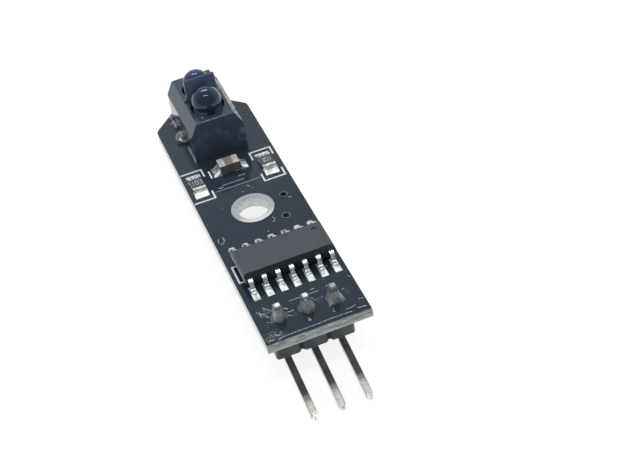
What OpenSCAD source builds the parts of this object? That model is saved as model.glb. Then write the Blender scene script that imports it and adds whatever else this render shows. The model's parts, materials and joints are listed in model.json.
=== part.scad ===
// One-channel infrared line tracking sensor: a small board with a reflective optical
// sensor, a comparator chip, three chip components and a three-pin bent header.
// Millimetres. X runs across the board, Y from the header to the sensor, Z up.
// The origin is the centre of the mounting hole at the board's underside.

/* [Board] */
// Width of the board
board_w = 9.6; // [9.2:0.1:14]
// Hole centre to the near edge, where the header is
near_l = 17.2; // [17:0.1:24]
// Hole centre to the far edge, where the sensor is
far_l = 17.8; // [17.5:0.1:26]
// Thickness of the laminate
board_t = 1.0; // [0.8:0.1:1.6]
// Cut across the two far corners
corner_cut = 2.2; // [1:0.1:2.6]
// Rounding where a corner cut meets the long edge
corner_r = 0.9; // [0.3:0.1:1.2]
// How far the broken score ridge stands out of the two short edges
score_ridge = 0.2; // [0.1:0.05:0.4]

/* [Mounting hole and vias] */
// Diameter of the mounting hole
hole_d = 3.0; // [2.2:0.1:3.4]
// Outside diameter of the tinned ring round it on each face
hole_ring_d = 4.06; // [3.8:0.01:4.4]
// Thickness of the copper and tin
plating_t = 0.05; // [0.03:0.01:0.08]
// Drill of a via
via_d = 0.7; // [0.4:0.05:0.7]
// Diameter of a via's ring
via_ring_d = 0.85; // [0.8:0.05:1.1]

/* [Reflective sensor] */
// Length of the moulded housing along the board
sensor_l = 8.1; // [7.4:0.1:9]
// Width of the moulded housing
sensor_w = 5.3; // [5:0.1:6]
// Height of the housing over the board
sensor_h = 4.4; // [4:0.1:5]
// Far end of the housing to the far edge of the board
sensor_back = 0.7; // [0.3:0.1:1.2]
// Width of the bevel on each long top edge
sensor_bevel_w = 0.75; // [0.4:0.05:0.85]
// Height of that bevel
sensor_bevel_h = 1.45; // [0.8:0.05:1.8]
// Small bevel on the two short top edges
sensor_edge = 0.14; // [0.05:0.01:0.25]
// Diameter of the phototransistor's lens
receiver_d = 2.9; // [2.4:0.1:3]
// Diameter of the infrared emitter's lens
emitter_d = 2.7; // [2.4:0.1:3]
// Height of the centres of the two domes over the board
lens_z = 5.0; // [4.6:0.1:5.4]
// Thickness of the light barrier between the lenses
barrier_t = 0.3; // [0.25:0.05:0.7]
// Gap between a lens and the light barrier
barrier_gap = 0.05; // [0.03:0.01:0.2]
// Height of the light barrier over the board
barrier_h = 6.7; // [6:0.1:7.4]
// Width of the light barrier at its top
barrier_w = 3.1; // [2.4:0.1:3.2]
// Gap between a lens and the bore that it is pressed into
lens_gap = 0.04; // [0.02:0.01:0.1]

/* [Comparator chip] */
// Length of the moulded body
chip_l = 8.65; // [8.2:0.05:9]
// Width of the moulded body
chip_w = 3.9; // [3.7:0.05:4.2]
// Height of its top over the board
chip_h = 1.65; // [1.4:0.05:1.9]
// Space under the body
chip_lift = 0.15; // [0.1:0.05:0.3]
// Span over the toes of the two lead rows
chip_span = 6.0; // [5.8:0.1:6.4]
// Lead pitch
chip_pitch = 1.27; // [1.2:0.01:1.27]
// Middle of the chip to the right of the board's middle line
chip_x = 0.19; // [-0.3:0.01:0.3]
// Pin row to the middle of the chip
chip_y = 6.5; // [6.1:0.1:6.9]

/* [Chip components] */
// Length of a resistor or of the capacitor
part_l = 2.0; // [1.6:0.1:2.2]
// Width of a resistor or of the capacitor
part_w = 1.25; // [0.9:0.05:1.4]
// Height of a resistor
resistor_h = 0.5; // [0.4:0.05:0.6]
// Height of the capacitor
capacitor_h = 0.95; // [0.6:0.05:1.2]
// Length of a resistor's metal end cap
resistor_end = 0.35; // [0.25:0.05:0.5]
// Length of the capacitor's metal end cap
capacitor_end = 0.6; // [0.4:0.05:0.75]

/* [Header] */
// Pitch of the header
header_pitch = 2.54; // [2.5:0.01:2.6]
// Side of a square pin
pin_a = 0.64; // [0.6:0.01:0.7]
// Middle pin to the right of the board's middle line
header_x = -0.15; // [-0.3:0.05:0.3]
// Pin row to the near edge of the board
header_y = 2.7; // [2:0.1:3.2]
// Height of the plastic strip
strip_h = 2.54; // [2.3:0.01:2.8]
// What its two broken ends lack of a whole pitch
strip_end_cut = 0.15; // [0.05:0.05:0.3]
// Space between the strip and the board
strip_gap = 0.1; // [0.1:0.05:0.6]
// Length of pin between the strip and the start of the bend
pin_drop = 0.5; // [0.2:0.05:2]
// Reach of the pins from their row to their tips
pin_reach = 6.85; // [5:0.05:9]
// Downward slope of the bent pins, in degrees
pin_slope = 11.8; // [0:0.1:14]
// Inside radius of the pin's bend
pin_bend_r = 0.5; // [0.4:0.05:0.8]
// Height of the pin's upper end over the board
pin_top = 1.5; // [1.2:0.05:1.9]

/* [Hidden] */
$fn = 48;
eps = 0.01;
top = board_t;
seat = top + plating_t;
score_from = 0.35 * board_t;
score_to = 0.65 * board_t;

pin_hole_d = 1.0;
pin_point_l = 0.5;
pin_point_flat = 0.4;
pin_cut_l = 0.14;
pin_cut_flat = 0.8;
lead_hole_d = 0.8;
pad_over = 0.35;
header_pad_over = 0.26;
strip_nick = 0.32;
solder_skin = 0.02;
header_neck_r = pin_a * sqrt(2) / 2 + solder_skin;
header_pin_bare = 0.12;
solder_inset = 0.04;
// Radius of a scooped and of a swollen side as a share of its chord
scoop_bend = 0.9;
swell_bend = 1.4;

sensor_y0 = far_l - sensor_back - sensor_l;
sensor_y = sensor_y0 + sensor_l / 2;
LENS_R = [receiver_d / 2, emitter_d / 2];
lens_from_barrier = barrier_t / 2 + barrier_gap;
LENSES = [sensor_y - lens_from_barrier - LENS_R[0], sensor_y + lens_from_barrier + LENS_R[1]];
sensor_top_w = sensor_w - 2 * sensor_bevel_w;
well_over = 0.2;
well_depth = 1.9;
well_floor = top + sensor_h - well_depth;
flange_edge = 0.05;
flange_cover = 0.1;
flange_h = 1.1;
flange_z = top + 0.3;
// The flare starts a little under the barrier's top
barrier_foot_h = min(1.8, 0.9 * (barrier_h - sensor_h));
sensor_lead_a = 0.5;
sensor_lead_b = 0.35;
sensor_lead_x = 1.27;
flange_w = 2 * sensor_lead_x + sensor_lead_b + 2 * flange_cover;
sensor_lead_root = 0.6;
sensor_lead_drop = 1.1;
sensor_lead_bare = 0.2;
sensor_neck_r = norm([sensor_lead_a, sensor_lead_b]) / 2 + solder_skin;

side_joint_r = 0.72;
side_joint_h = 0.95;
side_joint_hole_d = 0.7;
side_joint_off = 0.12;
side_joint_collar = 0.15;
side_joint_drop = 0.2;
side_joint_edge = 0.1;
side_joint_x = -sensor_w / 2 - side_joint_off;
// The farthest place where the drop still stays clear of the cut corner
side_joint_clear = sqrt(2) * (side_joint_r + side_joint_edge);
side_joint_last = far_l - corner_cut + board_w / 2 + side_joint_x - side_joint_clear;
SIDE_JOINTS = [sensor_y + 0.1, min(sensor_y + 3.1, side_joint_last)];

pin_row_y = -near_l + header_y;
chip_row_y = pin_row_y + chip_y;
lead_w = 0.41;
lead_t = 0.2;
lead_root = 0.4;
lead_bend_r = 0.15;
lead_foot = 0.75;
lead_z = top + 0.92;
pad_w = 0.62;
toe_run = 0.75;
heel_run = 0.35;
heel_climb = 0.15;
pad_inset = 0.05;
draft = 0.17;
chip_shave = 0.28;
dimple_r = 0.27;
dimple_d = 0.08;
dimple_from_end = 1.0;
dimple_from_side = 1.25;

resistor_y = sensor_y0 - 3.55;
resistor_left_x = -board_w / 2 + 1.12;
resistor_right_x = board_w / 2 - 1.42;
capacitor_x = -0.1;
capacitor_y = sensor_y0 - 2.44;
film_t = 0.05;
part_pad_run = 0.75;
resistor_climb = 0.8 * resistor_h;
capacitor_climb = 0.55 * capacitor_h;

VIAS = [[board_w / 2 - 1.6, 0.4], [board_w / 2 - 2.4, -2.5]];
PINS = [-1, 0, 1];

// General shapes

// A block centred in X and Y that stands on z
module block(x, y, z, size) {
    translate([x - size[0] / 2, y - size[1] / 2, z])
        cube(size);
}

// A flat profile drawn in (Y, Z), extruded w wide about the plane X = x
module across(x, w) {
    translate([x - w / 2, 0, 0])
        rotate([90, 0, 90])
            linear_extrude(height = w)
                children();
}

// A flat profile drawn in (X, Z), extruded from y0 to y1
module along(y0, y1) {
    translate([0, y1, 0])
        rotate([90, 0, 0])
            linear_extrude(height = y1 - y0)
                children();
}

// Part of a flat ring between two directions less than 180 degrees apart
module ring_part(r_in, r_out, a0, a1) {
    reach = 3 * r_out;
    mid = (a0 + a1) / 2;
    intersection() {
        difference() {
            circle(r_out);
            circle(r_in);
        }
        polygon([
            [0, 0],
            reach * [cos(a0), sin(a0)],
            2 * reach * [cos(mid), sin(mid)],
            reach * [cos(a1), sin(a1)]
        ]);
    }
}

// A right triangle on the origin, its long side scooped out by a circle
module scooped_corner(run, rise) {
    chord = norm([run, rise]);
    r = scoop_bend * chord;
    back = sqrt(r * r - chord * chord / 4);
    difference() {
        polygon([[0, 0], [run, 0], [0, rise]]);
        translate([run / 2 + back * rise / chord, rise / 2 + back * run / chord])
            circle(r);
    }
}

// A right triangle on the origin, its long side swollen out by a circle
module swollen_corner(run, rise) {
    chord = norm([run, rise]);
    r = swell_bend * chord;
    back = sqrt(r * r - chord * chord / 4);
    intersection() {
        translate([run / 2 - back * rise / chord, rise / 2 - back * run / chord])
            circle(r);
        square([r, rise]);
    }
}

// Board

module board_outline() {
    x = board_w / 2;
    cut_y = far_l - corner_cut;
    // The round touches the long edge and the 45 degree cut
    tangent = corner_r * tan(22.5);
    slant = tangent / sqrt(2);
    far_y = far_l + score_ridge;
    polygon([
        [-x, -near_l - score_ridge], [x, -near_l - score_ridge],
        [x, cut_y - tangent], [x - slant, cut_y + slant],
        [x - corner_cut - score_ridge, far_y], [-x + corner_cut + score_ridge, far_y],
        [-x + slant, cut_y + slant], [-x, cut_y - tangent]
    ]);
    for (s = [-1, 1])
        intersection() {
            translate([s * (x - corner_r), cut_y - tangent])
                circle(corner_r);
            translate([s * (x - corner_r / 2), cut_y])
                square([corner_r, 4 * corner_r], center = true);
        }
}

// Both short edges were scored from each face and broken off
module board_side_view() {
    y0 = -near_l;
    y1 = far_l;
    polygon([
        [y0, 0], [y1, 0],
        [y1 + score_ridge, score_from], [y1 + score_ridge, score_to],
        [y1, board_t], [y0, board_t],
        [y0 - score_ridge, score_to], [y0 - score_ridge, score_from]
    ]);
}

module board_bore(x, y, d) {
    translate([x, y, -1])
        cylinder(d = d, h = board_t + 2);
}

module board() {
    color([0.23, 0.26, 0.30])
        difference() {
            intersection() {
                linear_extrude(height = board_t)
                    board_outline();
                across(0, board_w + 2)
                    board_side_view();
            }
            board_bore(0, 0, hole_d);
            for (v = VIAS)
                board_bore(v[0], v[1], via_d);
            for (k = PINS)
                board_bore(pin_x(k), pin_row_y, pin_hole_d + 2 * plating_t);
            for (y = LENSES, s = [-1, 1])
                board_bore(s * sensor_lead_x, y, lead_hole_d + 2 * plating_t);
            for (y = SIDE_JOINTS)
                board_bore(side_joint_x, y, side_joint_hole_d);
        }
}

// A plated barrel with a ring on each face
module plated_hole(x, y, bore_d, ring_d) {
    translate([x, y, 0])
        difference() {
            union() {
                translate([0, 0, -plating_t])
                    cylinder(d = ring_d, h = plating_t);
                cylinder(d = bore_d + 2 * plating_t, h = board_t);
                translate([0, 0, board_t])
                    cylinder(d = ring_d, h = plating_t);
            }
            translate([0, 0, -1])
                cylinder(d = bore_d, h = board_t + 2);
        }
}

// The screw hole has bare walls between a tinned ring on each face
module mounting_hole_rings() {
    color("silver")
        for (z = [-plating_t, board_t])
            translate([0, 0, z])
                difference() {
                    cylinder(d = hole_ring_d, h = plating_t);
                    translate([0, 0, -1])
                        cylinder(d = hole_d, h = 2);
                }
}

module via(n) {
    color([0.3, 0.33, 0.36])
        plated_hole(VIAS[n][0], VIAS[n][1], via_d - 2 * plating_t, via_ring_d);
}

module header_hole_plating() {
    color("silver")
        for (k = PINS)
            plated_hole(pin_x(k), pin_row_y, pin_hole_d, pin_hole_d + 2 * header_pad_over);
}

module sensor_hole_plating() {
    color("silver")
        for (y = LENSES, s = [-1, 1])
            plated_hole(s * sensor_lead_x, y, lead_hole_d, lead_hole_d + 2 * pad_over);
}

// Reflective sensor

module housing_end_view() {
    a = sensor_w / 2;
    b = sensor_top_w / 2;
    z1 = top + sensor_h - sensor_bevel_h;
    z2 = top + sensor_h;
    polygon([[-a, seat], [a, seat], [a, z1], [b, z2], [-b, z2], [-a, z1]]);
}

module housing_side_view() {
    y1 = sensor_y0 + sensor_l;
    z2 = top + sensor_h;
    e = sensor_edge;
    polygon([
        [sensor_y0, seat], [y1, seat], [y1, z2 - e], [y1 - e, z2],
        [sensor_y0 + e, z2], [sensor_y0, z2 - e]
    ]);
}

// The light barrier stands out of the housing and widens downward to its full top
module barrier_end_view() {
    half = barrier_w / 2;
    z1 = top + sensor_h;
    translate([-half, well_floor])
        square([barrier_w, top + barrier_h - well_floor]);
    for (s = [-1, 1])
        translate([s * half, z1])
            mirror([s < 0 ? 1 : 0, 0])
                scooped_corner(sensor_top_w / 2 - half, barrier_foot_h);
}

module housing_wells() {
    difference() {
        for (n = [0, 1])
            translate([0, LENSES[n], well_floor])
                cylinder(r = LENS_R[n] + well_over, h = well_depth + 1);
        block(0, sensor_y, well_floor - 1, [2 * sensor_w, barrier_t, well_depth + 3]);
    }
}

module sensor_housing() {
    color([0.16, 0.18, 0.22])
        difference() {
            union() {
                difference() {
                    intersection() {
                        along(sensor_y0, sensor_y0 + sensor_l)
                            housing_end_view();
                        across(0, sensor_w + 2)
                            housing_side_view();
                    }
                    housing_wells();
                }
                along(sensor_y - barrier_t / 2, sensor_y + barrier_t / 2)
                    barrier_end_view();
            }
            for (n = [0, 1]) {
                translate([0, LENSES[n], flange_z])
                    cylinder(r = LENS_R[n] + lens_gap, h = well_floor - flange_z + eps);
                block(0, LENSES[n], top - 1, [flange_w + 2 * lens_gap,
                    2 * (LENS_R[n] + flange_edge + lens_gap), flange_z + flange_h - top + 1]);
            }
        }
}

// A domed epoxy package with a block foot that covers the roots of its two leads
module domed_package(n) {
    y = LENSES[n];
    r = LENS_R[n];
    difference() {
        union() {
            block(0, y, flange_z, [flange_w, 2 * (r + flange_edge), flange_h]);
            translate([0, y, flange_z])
                cylinder(r = r, h = top + lens_z - flange_z);
            translate([0, y, top + lens_z])
                intersection() {
                    sphere(r = r);
                    translate([-r, -r, 0])
                        cube([2 * r, 2 * r, r]);
                }
        }
        for (s = [-1, 1])
            sensor_lead(s, y);
    }
}

module infrared_emitter() {
    color([0.35, 0.35, 0.65])
        domed_package(1);
}

module phototransistor() {
    color([0.12, 0.13, 0.16])
        domed_package(0);
}

module sensor_lead(side, y) {
    z0 = -sensor_lead_drop;
    block(side * sensor_lead_x, y, z0,
        [sensor_lead_b, sensor_lead_a, flange_z + sensor_lead_root - z0]);
}

module optics_lead(side, n) {
    color("silver")
        sensor_lead(side, LENSES[n]);
}

// Solder that fills a hole and climbs a lead, drawn as (radius, height) over the pad
module joint_outline(neck_r, height, hole_r) {
    translate([0, -board_t - plating_t])
        square([hole_r, board_t + plating_t]);
    square([neck_r, height]);
    translate([neck_r, 0])
        children();
}

module optics_joint(side, n) {
    y = LENSES[n];
    height = sensor_lead_drop - sensor_lead_bare;
    run = lead_hole_d / 2 + pad_over - solder_inset - sensor_neck_r;
    color([0.72, 0.73, 0.74])
        difference() {
            translate([side * sensor_lead_x, y, -plating_t])
                mirror([0, 0, 1])
                    rotate_extrude()
                        joint_outline(sensor_neck_r, height, lead_hole_d / 2)
                            scooped_corner(run, height);
            sensor_lead(side, y);
        }
}

// A round drop of solder over a filled hole, drawn as (radius, height)
module side_joint_outline() {
    r = side_joint_r;
    plug_r = side_joint_hole_d / 2;
    drop = side_joint_drop;
    intersection() {
        union() {
            translate([0, top + side_joint_h - r])
                circle(r);
            translate([0, top])
                square([r, side_joint_h - r]);
        }
        translate([0, top])
            square([r, side_joint_h]);
    }
    polygon([
        [0, -drop], [plug_r, -drop], [plug_r + side_joint_collar, 0], [plug_r, 0],
        [plug_r, top + side_joint_h / 2], [0, top + side_joint_h / 2]
    ]);
}

// The drop is flat where it meets the housing's wall
module side_joint(n) {
    color([0.72, 0.73, 0.74])
        difference() {
            translate([side_joint_x, SIDE_JOINTS[n], 0])
                rotate_extrude()
                    side_joint_outline();
            translate([-sensor_w / 2, 0, seat])
                cube([sensor_w, far_l, sensor_h]);
        }
}

// Comparator chip

module chip_end_view() {
    a = chip_l / 2;
    z0 = top + chip_lift;
    z1 = lead_z + lead_t / 2;
    z2 = top + chip_h;
    polygon([
        [-a + draft, z0], [a - draft, z0], [a, z1],
        [a - draft, z2], [-a + draft, z2], [-a, z1]
    ]);
}

module chip_side_view() {
    a = chip_w / 2;
    z0 = top + chip_lift;
    z1 = lead_z + lead_t / 2;
    z2 = top + chip_h;
    translate([chip_row_y, 0])
        polygon([
            [-a + draft, z0], [a - draft, z0], [a, z1],
            [a - draft - chip_shave / 3, z2 - chip_shave / 2],
            [a - draft - chip_shave, z2], [-a + draft, z2], [-a, z1]
        ]);
}

// One lead in (outward, Z): root in the body, shoulder, leg, and foot on the pad
module lead_outline() {
    face = chip_w / 2;
    r = lead_bend_r;
    toe = chip_span / 2;
    leg = toe - lead_foot;
    z_foot = seat;
    translate([face - lead_root, lead_z])
        square([leg - r - face + lead_root, lead_t]);
    translate([leg - r, lead_z - r])
        ring_part(r, r + lead_t, 0, 90);
    translate([leg, z_foot + lead_t + r])
        square([lead_t, lead_z - r - z_foot - lead_t - r]);
    translate([leg + lead_t + r, z_foot + lead_t + r])
        ring_part(r, r + lead_t, 180, 270);
    translate([leg + lead_t + r, z_foot])
        square([toe - leg - lead_t - r, lead_t]);
}

// Numbers run along the near row, then back along the far row
function lead_x(n) = chip_x + chip_pitch * (n < 7 ? n - 3 : 10 - n);
function lead_side(n) = n < 7 ? -1 : 1;

module lead_solid(n) {
    translate([0, chip_row_y, 0])
        mirror([0, lead_side(n) < 0 ? 1 : 0, 0])
            across(lead_x(n), lead_w)
                lead_outline();
}

module chip_body() {
    color([0.31, 0.34, 0.36])
        difference() {
            intersection() {
                translate([chip_x, 0, 0])
                    along(chip_row_y - chip_w, chip_row_y + chip_w)
                        chip_end_view();
                across(chip_x, chip_l + 2)
                    chip_side_view();
            }
            for (n = [0 : 13])
                lead_solid(n);
            translate([chip_x + chip_l / 2 - dimple_from_end,
                    chip_row_y + chip_w / 2 - dimple_from_side, top + chip_h - dimple_d])
                cylinder(r = dimple_r, h = 1);
        }
}

module chip_lead(n) {
    color("silver")
        lead_solid(n);
}

// A tinned pad with the solder that climbs the toe and the heel of its lead
module lead_solder(n) {
    toe = chip_span / 2;
    heel = toe - lead_foot;
    translate([0, chip_row_y, 0])
        mirror([0, lead_side(n) < 0 ? 1 : 0, 0]) {
            across(lead_x(n), pad_w)
                translate([heel - heel_run, top])
                    square([toe + toe_run - heel + heel_run, plating_t]);
            across(lead_x(n), pad_w - 2 * pad_inset)
                translate([toe, seat])
                    scooped_corner(toe_run - pad_inset, lead_t);
            across(lead_x(n), lead_w)
                translate([heel, seat])
                    mirror([1, 0])
                        scooped_corner(heel_run - pad_inset, lead_t + heel_climb);
        }
}

module chip_solder(first) {
    color([0.85, 0.86, 0.87])
        for (n = [first : first + 6])
            lead_solder(n);
}

// Chip components, drawn along X at the origin and turned into place

module cap_solid(side, h, end) {
    intersection() {
        difference() {
            block(0, 0, 0, [part_l, part_w, h]);
            block(0, 0, film_t, [part_l - 2 * film_t, part_w - 2 * film_t, h - 2 * film_t]);
        }
        block(side * part_l / 2, 0, -1, [2 * end, part_w + 1, h + 2]);
    }
}

module ceramic_solid(h, end) {
    difference() {
        block(0, 0, 0, [part_l, part_w, h]);
        for (s = [-1, 1])
            cap_solid(s, h, end);
    }
}

module part_solder_solid(side, climb, end) {
    w = part_w + 2 * pad_inset;
    mirror([side < 0 ? 1 : 0, 0, 0]) {
        block(part_l / 2 + (part_pad_run - end) / 2, 0, -plating_t,
            [end + part_pad_run, w, plating_t]);
        along(-w / 2, w / 2)
            translate([part_l / 2, 0])
                scooped_corner(part_pad_run - pad_inset, climb);
    }
}

module place_resistor(x) {
    translate([x, resistor_y, seat])
        rotate([0, 0, 90])
            children();
}

module place_capacitor() {
    translate([capacitor_x, capacitor_y, seat])
        children();
}

module resistor_body(x) {
    color([0.25, 0.27, 0.28])
        place_resistor(x)
            ceramic_solid(resistor_h, resistor_end);
}

module resistor_cap(x, side) {
    color("silver")
        place_resistor(x)
            cap_solid(side, resistor_h, resistor_end);
}

module resistor_solder(x) {
    color([0.85, 0.86, 0.87])
        place_resistor(x)
            for (s = [-1, 1])
                part_solder_solid(s, resistor_climb, resistor_end);
}

module capacitor_body() {
    color([0.59, 0.51, 0.45])
        place_capacitor()
            ceramic_solid(capacitor_h, capacitor_end);
}

module capacitor_cap(side) {
    color("silver")
        place_capacitor()
            cap_solid(side, capacitor_h, capacitor_end);
}

module capacitor_solder() {
    color([0.85, 0.86, 0.87])
        place_capacitor()
            for (s = [-1, 1])
                part_solder_solid(s, capacitor_climb, capacitor_end);
}

// Header

function pin_x(k) = header_x + k * header_pitch;

// The strip from above: one octagon for each pin, the outer two a little short
module strip_outline() {
    a = header_pitch / 2;
    nick = strip_nick;
    whole_l = len(PINS) * header_pitch - 2 * strip_end_cut;
    intersection() {
        for (k = PINS)
            translate([pin_x(k), pin_row_y])
                polygon([
                    [-a, -a + nick], [-a + nick, -a], [a - nick, -a], [a, -a + nick],
                    [a, a - nick], [a - nick, a], [-a + nick, a], [-a, a - nick]
                ]);
        translate([pin_x(0), pin_row_y])
            square([whole_l, 2 * header_pitch], center = true);
    }
}

module header_strip() {
    color([0.24, 0.26, 0.30])
        difference() {
            translate([0, 0, -strip_gap - strip_h])
                linear_extrude(height = strip_h)
                    strip_outline();
            for (k = PINS)
                pin_solid(k);
        }
}

// Where the bend starts and where the straight mating length starts and ends, in (Y, Z)
pin_mid_r = pin_bend_r + pin_a / 2;
bend_z = -strip_gap - strip_h - pin_drop;
bend_y = pin_row_y - pin_mid_r;
run_y = bend_y + pin_mid_r * sin(pin_slope);
run_z = bend_z - pin_mid_r * cos(pin_slope);
pin_end_y = pin_row_y - pin_reach;
pin_end_z = run_z - tan(pin_slope) * (run_y - pin_end_y);

// The pin from the side, in (Y, Z): down through the board and bent out past its edge
module pin_outline() {
    a = pin_a / 2;
    translate([pin_row_y - a, bend_z])
        square([pin_a, top + pin_top - bend_z]);
    translate([bend_y, bend_z])
        ring_part(pin_bend_r, pin_bend_r + pin_a, pin_slope - 90, 0);
    translate([run_y, run_z])
        rotate(180 + pin_slope)
            translate([0, -a])
                square([(run_y - pin_end_y) / cos(pin_slope), pin_a]);
}

module pin_solid(k) {
    x = pin_x(k);
    difference() {
        across(x, pin_a)
            pin_outline();
        translate([x, pin_row_y, top + pin_top])
            pin_point(pin_cut_flat, pin_cut_l);
        translate([x, pin_end_y, pin_end_z])
            rotate([90 + pin_slope, 0, 0])
                pin_point(pin_point_flat, pin_point_l);
    }
}

// What is cut away to bring a square end along +Z down to a smaller flat at the origin
module pin_point(flat_share, length) {
    a = pin_a / 2;
    flat = flat_share * a;
    for (turn = [0, 90, 180, 270])
        rotate([0, 0, turn])
            rotate([90, 0, 0])
                translate([0, 0, -pin_a])
                    linear_extrude(height = 2 * pin_a)
                        polygon([
                            [flat, 0.1], [flat, 0], [a, -length],
                            [2 * a, -length], [2 * a, 0.1]
                        ]);
}

module header_pin(k) {
    color([0.5, 0.5, 0.49])
        pin_solid(k);
}

module header_joint(k) {
    height = pin_top - plating_t - header_pin_bare;
    run = pin_hole_d / 2 + header_pad_over - solder_inset - header_neck_r;
    color([0.45, 0.45, 0.46])
        difference() {
            translate([pin_x(k), pin_row_y, seat])
                rotate_extrude()
                    joint_outline(header_neck_r, height, pin_hole_d / 2)
                        swollen_corner(run, height);
            pin_solid(k);
        }
}

board();
mounting_hole_rings();
via(0);  // via_upper
via(1);  // via_lower
header_hole_plating();
sensor_hole_plating();
sensor_housing();
infrared_emitter();
phototransistor();
optics_lead(-1, 1);  // emitter_lead_left
optics_lead(1, 1);  // emitter_lead_right
optics_lead(-1, 0);  // receiver_lead_left
optics_lead(1, 0);  // receiver_lead_right
optics_joint(-1, 1);  // emitter_joint_left
optics_joint(1, 1);  // emitter_joint_right
optics_joint(-1, 0);  // receiver_joint_left
optics_joint(1, 0);  // receiver_joint_right
side_joint(0);  // side_joint_near
side_joint(1);  // side_joint_far
chip_body();
chip_lead(0);  // chip_lead_01
chip_lead(1);  // chip_lead_02
chip_lead(2);  // chip_lead_03
chip_lead(3);  // chip_lead_04
chip_lead(4);  // chip_lead_05
chip_lead(5);  // chip_lead_06
chip_lead(6);  // chip_lead_07
chip_lead(7);  // chip_lead_08
chip_lead(8);  // chip_lead_09
chip_lead(9);  // chip_lead_10
chip_lead(10);  // chip_lead_11
chip_lead(11);  // chip_lead_12
chip_lead(12);  // chip_lead_13
chip_lead(13);  // chip_lead_14
chip_solder(0);  // chip_solder_near
chip_solder(7);  // chip_solder_far
resistor_body(resistor_left_x);  // resistor_left_body
resistor_cap(resistor_left_x, -1);  // resistor_left_near_cap
resistor_cap(resistor_left_x, 1);  // resistor_left_far_cap
resistor_solder(resistor_left_x);  // resistor_left_solder
resistor_body(resistor_right_x);  // resistor_right_body
resistor_cap(resistor_right_x, -1);  // resistor_right_near_cap
resistor_cap(resistor_right_x, 1);  // resistor_right_far_cap
resistor_solder(resistor_right_x);  // resistor_right_solder
capacitor_body();
capacitor_cap(-1);  // capacitor_left_cap
capacitor_cap(1);  // capacitor_right_cap
capacitor_solder();
header_strip();
header_pin(-1);  // header_pin_1
header_pin(0);  // header_pin_2
header_pin(1);  // header_pin_3
header_joint(-1);  // header_joint_1
header_joint(0);  // header_joint_2
header_joint(1);  // header_joint_3
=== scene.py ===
import json
import math

import bmesh
import bpy
from mathutils import Matrix, Vector


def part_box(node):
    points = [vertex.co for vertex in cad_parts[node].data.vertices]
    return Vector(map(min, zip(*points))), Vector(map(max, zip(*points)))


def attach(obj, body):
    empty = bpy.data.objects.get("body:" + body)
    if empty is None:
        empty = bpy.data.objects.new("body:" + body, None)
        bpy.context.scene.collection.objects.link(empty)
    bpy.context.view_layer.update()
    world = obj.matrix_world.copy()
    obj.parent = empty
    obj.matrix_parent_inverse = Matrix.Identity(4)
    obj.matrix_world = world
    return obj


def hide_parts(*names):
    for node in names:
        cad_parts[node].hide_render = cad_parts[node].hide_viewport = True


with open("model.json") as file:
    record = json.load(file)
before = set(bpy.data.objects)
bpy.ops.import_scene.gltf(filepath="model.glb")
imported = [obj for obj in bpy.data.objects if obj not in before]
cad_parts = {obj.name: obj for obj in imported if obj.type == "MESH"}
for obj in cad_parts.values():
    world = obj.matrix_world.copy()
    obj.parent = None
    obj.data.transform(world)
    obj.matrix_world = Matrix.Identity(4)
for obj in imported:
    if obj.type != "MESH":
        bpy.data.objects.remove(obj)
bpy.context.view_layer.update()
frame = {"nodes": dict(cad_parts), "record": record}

MM = 0.001
BODY = "root"
SLOT_OF = {row["node"]: row["material_slot"] for row in frame["record"]["subparts"]}


# Places on the sensor. Sizes are in mm here and on to the stage, from the middle of the mounting
# hole at the board's underside, with X to the right, Y to the far end and Z up.

def box_mm(node):
    """The lowest and the highest corner of a CAD node."""
    low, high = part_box(node)
    return low / MM, high / MM


def middle(node):
    """The middle of a CAD node."""
    low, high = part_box(node)
    return (low + high) / 2 / MM


BOARD_TOP = box_mm("board")[1].z
PAD_TOP = 1.05
PAD_BOTTOM = -0.05
HOUSING_TOP = 5.4
# Middle, pitch and count of each row
HEADER_ROW = (-0.15, 2.54, 3)
CHIP_ROW = (0.19, 1.27, 7)


# Colours and shader nodes

def tone(red, green, blue):
    """A colour given as it looks on a screen, 0 to 255."""
    def linear(value):
        share = value / 255
        return share / 12.92 if share <= 0.04045 else ((share + 0.055) / 1.055) ** 2.4
    return (linear(red), linear(green), linear(blue), 1.0)


def feed(tree, socket, value):
    """Links another node's output to a socket, or sets a number or colour on it."""
    if isinstance(value, bpy.types.NodeSocket):
        tree.links.new(value, socket)
    else:
        socket.default_value = value


def add(tree, kind, inputs=None, **settings):
    """A shader node with its settings, and its inputs as numbers or as other nodes' outputs."""
    node = tree.nodes.new("ShaderNode" + kind)
    for name, value in settings.items():
        setattr(node, name, value)
    for name, value in (inputs or {}).items():
        feed(tree, node.inputs[name], value)
    return node


def place(tree):
    """Where a point lies in the frame, in mm."""
    at = add(tree, "TexCoord").outputs["Object"]
    return add(tree, "VectorMath", {0: at, "Scale": 1 / MM}, operation="SCALE").outputs[0]


def parts_of(tree, vector):
    """The X, Y and Z outputs of a vector."""
    return add(tree, "SeparateXYZ", {0: vector}).outputs


def way_out(tree):
    """The X, Y and Z outputs of the true normal of a face."""
    return parts_of(tree, add(tree, "NewGeometry").outputs["True Normal"])


def maths(tree, operation, a, b=0.0):
    return add(tree, "Math", {0: a, 1: b}, operation=operation).outputs[0]


def times(tree, product, *others):
    for other in others:
        product = maths(tree, "MULTIPLY", product, other)
    return product


def plus(tree, a, b):
    return maths(tree, "ADD", a, b)


def minus(tree, a, b):
    return maths(tree, "SUBTRACT", a, b)


def most(tree, a, b):
    return maths(tree, "MAXIMUM", a, b)


def above(tree, value, limit):
    """1 where a value is above a limit, and 0 elsewhere."""
    return maths(tree, "GREATER_THAN", value, limit)


def size_of(tree, value):
    """A value without its sign."""
    return maths(tree, "ABSOLUTE", value)


def length(tree, steps):
    """How long a way is, from its steps along the axes."""
    total = 0.0
    for step in steps:
        total = plus(tree, total, times(tree, step, step))
    return maths(tree, "SQRT", total)


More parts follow.
